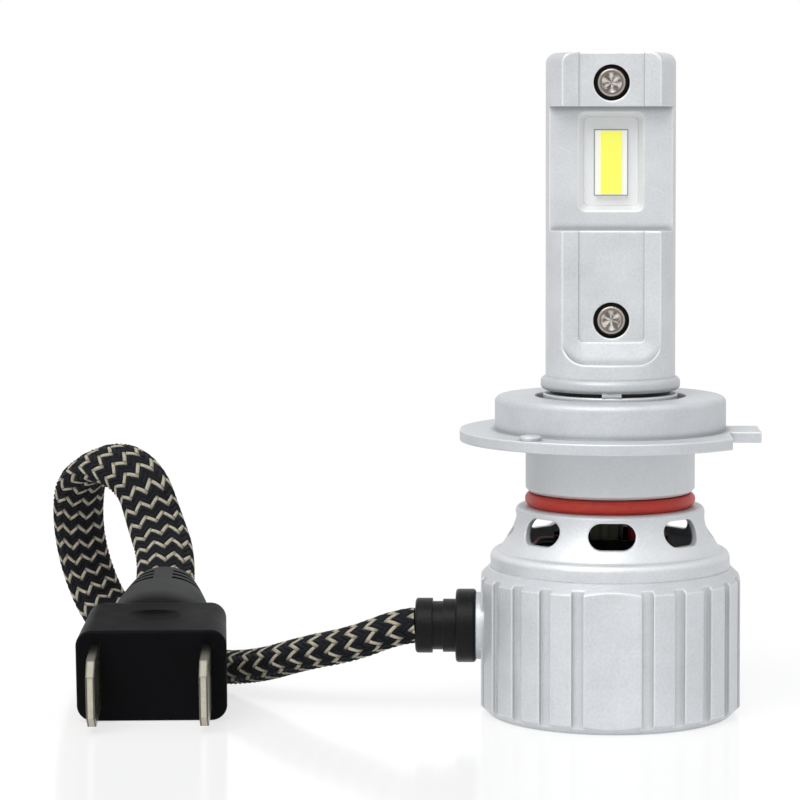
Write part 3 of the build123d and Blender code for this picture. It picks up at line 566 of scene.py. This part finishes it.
def lead_rings(points, lengths):
    """The mesh's rings of points along the line, with the braid's height in them."""
    half_w, half_t = LEAD_WIDTH / 2, LEAD_THICKNESS / 2
    angles = oval_angles(half_w, half_t)
    around = np.arange(SIDES) / SIDES * CARRIERS
    normal_w, normal_t = np.cos(angles) / half_w, np.sin(angles) / half_t
    size = np.hypot(normal_w, normal_t)
    rings = []
    for place, (wide, thin), length in zip(points, carried_frames(points, WIDE_SIDE), lengths):
        height = weave_height(around, length / MM / STRAND_STEP)
        rise = (height - STRAND_MIDDLE) * STRAND_RISE
        flare = 1 + FLARE * float(np.interp(length / lengths[-1], FLARE_SPAN, (0, 1)))
        w = flare * half_w * np.cos(angles) + rise * normal_w / size
        t = half_t * np.sin(angles) + rise * normal_t / size
        offset = w[:, None] * np.array(wide)[None] + t[:, None] * np.array(thin)[None]
        rings.append(np.array(place)[None] + MM * offset)
    return rings


def lead_faces(lengths):
    """The faces between the rings and at both ends, and the weave coordinates of their corners."""
    count = len(lengths)
    along = [length / MM / STRAND_STEP for length in lengths]
    faces, corners = [], []
    for i in range(count - 1):
        for j in range(SIDES):
            k = (j + 1) % SIDES
            low, high = i * SIDES, (i + 1) * SIDES
            faces.append((low + j, low + k, high + k, high + j))
            u0, u1 = j / SIDES * CARRIERS, (j + 1) / SIDES * CARRIERS
            corners += [(u0, along[i]), (u1, along[i]), (u1, along[i + 1]), (u0, along[i + 1])]
    # closed ends, hidden in the gland and the strain relief, around a middle point each
    first, last = count * SIDES, count * SIDES + 1
    for j in range(SIDES):
        k = (j + 1) % SIDES
        faces.append((first, k, j))
        faces.append((last, (count - 1) * SIDES + j, (count - 1) * SIDES + k))
        corners += [(0, 0)] * 6
    return faces, corners


def make_lead():
    """The lead, the points of its line and its length."""
    points = line_points("lead_line", ROUTE, LINE_STEPS)
    lengths = [0.0]
    for p, q in zip(points, points[1:]):
        lengths.append(lengths[-1] + (q - p).length)
    ends = [[list(points[0]), list(points[-1])]]
    vertices = np.concatenate(lead_rings(points, lengths) + ends)
    faces, corners = lead_faces(lengths)
    mesh = bpy.data.meshes.new("woven_lead")
    mesh.from_pydata([tuple(v) for v in vertices], [], faces)
    layer = mesh.uv_layers.new(name="weave")
    layer.data.foreach_set("uv", np.array(corners, dtype=np.float32).ravel())
    mesh.polygons.foreach_set("use_smooth", [True] * len(mesh.polygons))
    mesh.update()
    lead = bpy.data.objects.new("woven_lead", mesh)
    scene.collection.objects.link(lead)
    return lead, points, lengths[-1]


def braid_material():
    """Black strands with a pale one in every three, by the same rule as weave_height()."""
    made = bpy.data.materials.new("braid")
    g = Graph(made)
    around, along, _ = g.split(g.node("ShaderNodeUVMap", uv_map="weave").outputs[0])
    a, b = g.add(along, around), g.minus(along, around)
    floor_a, floor_b = g.math("FLOOR", a), g.math("FLOOR", b)
    fold = g.math("FLOORED_MODULO", g.minus(floor_a, floor_b), REPEAT)
    over = g.math("LESS_THAN", fold, PASS - 0.5)
    under = g.minus(1.0, over)

    def chosen(first, second):
        return g.add(g.times(first, over), g.times(second, under))

    strand = chosen(floor_a, floor_b)
    pale = g.math("LESS_THAN", g.math("FLOORED_MODULO", g.add(strand, 0.25), 3.0), 1.0)
    across = chosen(g.math("FRACT", a), g.math("FRACT", b))
    run = chosen(g.add(g.minus(floor_a, b), 1.0), g.minus(g.minus(a, floor_b), PASS))
    place = g.math("MULTIPLY", g.math("FLOORED_MODULO", run, REPEAT), 1 / SHOWN_RUN, clamp=True)
    arch = g.math("SINE", g.times(place, math.pi))
    # fibres lie along each strand and wander a little
    point = g.in_mm()
    wander = g.times(g.noise(point, 3.0), 0.22)
    fibres = g.math("SINE", g.times(g.add(across, wander), FIBRES))
    fluff = g.noise(point, 9.0, 3.0, 0.65)
    tone = g.add(g.times(fibres, 0.16), g.remap(fluff, *NOISE_SPAN, 0.2, 0.95), clamp=True)
    dark = g.mix(tone, rgba((0.0035, 0.004, 0.006)), rgba((0.013, 0.014, 0.018)))
    beige = g.mix(tone, rgba((0.26, 0.22, 0.15)), rgba((0.72, 0.67, 0.54)))
    # painted shade where each pale strand dips under the others
    beige = g.mix(g.fall(arch, 0.0, 0.75, 0.75), beige, rgba((0.10, 0.085, 0.055)))
    middle = g.fall(g.absolute(g.minus(across, 0.5)), 0.33, 0.47)
    shader = g.node("ShaderNodeBsdfPrincipled", {
        "Base Color": g.mix(g.times(pale, middle), dark, beige),
        "Roughness": g.remap(fluff, *NOISE_SPAN, 0.5, 0.75),
        "Normal": g.node("ShaderNodeBump", {
            "Height": g.add(g.times(fibres, 0.5), g.times(fluff, 0.7)),
            "Distance": 0.018 * MM,
        }),
        "Specular IOR Level": 0.12,
    })
    g.surface(shader)
    return made


lead, lead_line, lead_length = make_lead()
lead.data.materials.append(braid_material())
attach(lead, "lamp")
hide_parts("lead_braid")


# ---------------------------------------------------------------- floor and light
FLOOR_REACH = 3.0               # metres from the middle to each side
FLOOR_DROP = 0.02 * MM          # keeps the floor clear of the faces that stand on it
FLOOR_GLOW = 0.7                # of white, where the floor is seen
FLOOR_SHINE = 0.12              # share of the reflection, where the floor is seen


def make_floor():
    """A pale floor that shows as near white, with the lamp's shadow and a faint reflection."""
    r = FLOOR_REACH
    mesh = bpy.data.meshes.new("floor")
    mesh.from_pydata([(-r, -r, 0), (r, -r, 0), (r, r, 0), (-r, r, 0)], [], [(0, 1, 2, 3)])
    floor = bpy.data.objects.new("floor", mesh)
    floor.location.z = -FLOOR_DROP
    scene.collection.objects.link(floor)
    made = bpy.data.materials.new("floor_white")
    g = Graph(made)
    plain = g.shader("ShaderNodeBsdfDiffuse", (0.86, 0.86, 0.87))
    grey = g.shader("ShaderNodeBsdfDiffuse", (0.25, 0.25, 0.25))
    shine = g.shader("ShaderNodeBsdfGlossy", WHITE, Roughness=0.12)
    polished = g.node("ShaderNodeMixShader", {0: FLOOR_SHINE, 1: grey, 2: shine})
    glow = g.shader("ShaderNodeEmission", WHITE, Strength=FLOOR_GLOW)
    shown = g.node("ShaderNodeAddShader", {0: polished, 1: glow})
    g.surface(g.node("ShaderNodeMixShader", {0: g.seen(), 1: plain, 2: shown}))
    mesh.materials.append(made)


def make_world():
    """A soft light from all around, behind a background that shows as white."""
    world = bpy.data.worlds.new("studio")
    scene.world = world
    g = Graph(world)
    soft = g.shader("ShaderNodeBackground", (0.96, 0.98, 1.0), Strength=0.34)
    white = g.shader("ShaderNodeBackground", WHITE, Strength=1.0)
    g.surface(g.node("ShaderNodeMixShader", {0: g.seen(), 1: soft, 2: white}),
              "ShaderNodeOutputWorld")


def sun(name, azimuth, height, strength, spread):
    """A sun lamp; its azimuth, height and spread are in degrees, with azimuth 0 at the front."""
    data = bpy.data.lights.new(name, "SUN")
    data.energy = strength
    data.angle = math.radians(spread)
    lamp = bpy.data.objects.new(name, data)
    a, h = math.radians(azimuth), math.radians(height)
    towards = Vector((math.sin(a) * math.cos(h), -math.cos(a) * math.cos(h), math.sin(h)))
    lamp.rotation_euler = towards.to_track_quat("Z", "Y").to_euler()
    scene.collection.objects.link(lamp)


make_floor()
make_world()
sun("key", azimuth=-25, height=50, strength=1.75, spread=50)
sun("fill", azimuth=62, height=30, strength=0.2, spread=70)
sun("top", azimuth=10, height=85, strength=0.45, spread=80)


# ---------------------------------------------------------------- camera
CAMERA_PLACE = (-5.93, -271.57, 54.81)  # mm
CAMERA_DOWN = 2.672             # degrees below the horizon
CAMERA_TURN = 1.330             # degrees to the left
CAMERA_LENS = 130.44            # mm, in front of a sensor 36 mm wide
CAMERA_SHIFT = (-0.1, -0.17)    # widths of the picture


def make_camera():
    data = bpy.data.cameras.new("camera")
    data.sensor_width = 36
    data.lens = CAMERA_LENS
    data.shift_x, data.shift_y = CAMERA_SHIFT
    data.clip_start, data.clip_end = 0.01, 20
    camera = bpy.data.objects.new("camera", data)
    camera.location = [v * MM for v in CAMERA_PLACE]
    camera.rotation_euler = (math.radians(90 - CAMERA_DOWN), 0, math.radians(CAMERA_TURN))
    scene.collection.objects.link(camera)
    scene.camera = camera


make_camera()
